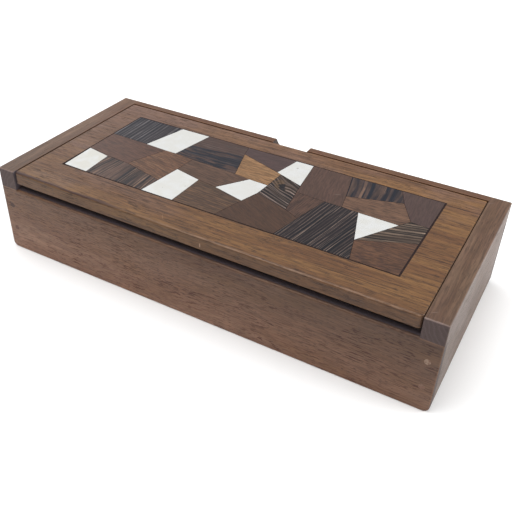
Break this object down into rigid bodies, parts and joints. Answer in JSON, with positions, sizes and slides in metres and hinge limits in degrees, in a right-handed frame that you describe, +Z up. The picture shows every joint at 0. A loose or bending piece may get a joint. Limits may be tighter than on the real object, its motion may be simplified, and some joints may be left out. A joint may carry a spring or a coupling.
{
  "type": "inlaid wooden box",
  "caption": "Long low wooden box with a pivoting lid set flush between two end boards, inlaid with a random field of bone and mixed wood tiles.",
  "frame": {"origin": "middle of the box's underside, on the surface that it stands on", "axes": "+X along the length to the right end, +Y to the back wall with the thumb notch, +Z up; the front, with the finger gap under the lid, faces -Y"},
  "size_m": [0.25, 0.112, 0.0515],
  "materials": {
    "lid_wood": "oiled, straight grain along the length",
    "end_wood": "oiled, grain front to back",
    "wall_wood": "oiled, fine dark pores",
    "inner_wood": "plain sanded",
    "peg_wood": "end grain, oiled",
    "bone": "polished bone, satin",
    "dark_striped_wood": "satin, dark stripes",
    "brown_wood": "satin",
    "redbrown_wood": "satin",
    "mahogany_wood": "satin",
    "yellow_wood": "satin",
    "purple_wood": "satin",
    "orange_wood": "satin",
    "dark_glue": "dark filler",
    "steel": "bright wire"
  },
  "bodies": {
    "box": {"back_pegs": "peg_wood", "back_wall": "wall_wood", "bottom_panel": "inner_wood", "front_pegs": "peg_wood", "front_wall": "wall_wood", "hinge_pin_left": "steel", "hinge_pin_right": "steel", "left_end_board": "end_wood", "lid_rest_left": "inner_wood", "lid_rest_right": "inner_wood", "right_end_board": "end_wood"},
    "lid": {"inlay_ground": "dark_glue", "lid_board": "lid_wood", "tile_bone_back_left": "bone", "tile_bone_back_middle": "bone", "tile_bone_centre": "bone", "tile_bone_front_left": "bone", "tile_bone_left_middle": "bone", "tile_bone_right": "bone", "tile_brown_front": "brown_wood", "tile_brown_left": "brown_wood", "tile_brown_middle": "brown_wood", "tile_brown_speckled_front": "brown_wood", "tile_dark_fanned_right": "dark_striped_wood", "tile_dark_striped_back_left": "dark_striped_wood", "tile_dark_striped_back_right": "dark_striped_wood", "tile_dark_striped_centre": "dark_striped_wood", "tile_dark_striped_front": "dark_striped_wood", "tile_dark_striped_front_left": "dark_striped_wood", "tile_dark_wavy_back": "dark_striped_wood", "tile_mahogany_back": "mahogany_wood", "tile_orange_right": "orange_wood", "tile_purple_back": "purple_wood", "tile_purple_back_right": "purple_wood", "tile_redbrown_centre": "redbrown_wood", "tile_redbrown_front_right": "redbrown_wood", "tile_redbrown_left": "redbrown_wood", "tile_yellow_centre": "yellow_wood"}
  },
  "joints": [
    {"name": "lid_turn", "type": "hinge", "parent": "box", "child": "lid", "pos_m": [0, 0.0384, 0.0481], "axis": [-1, 0, 0], "range_deg": [0, 148]}
  ]
}
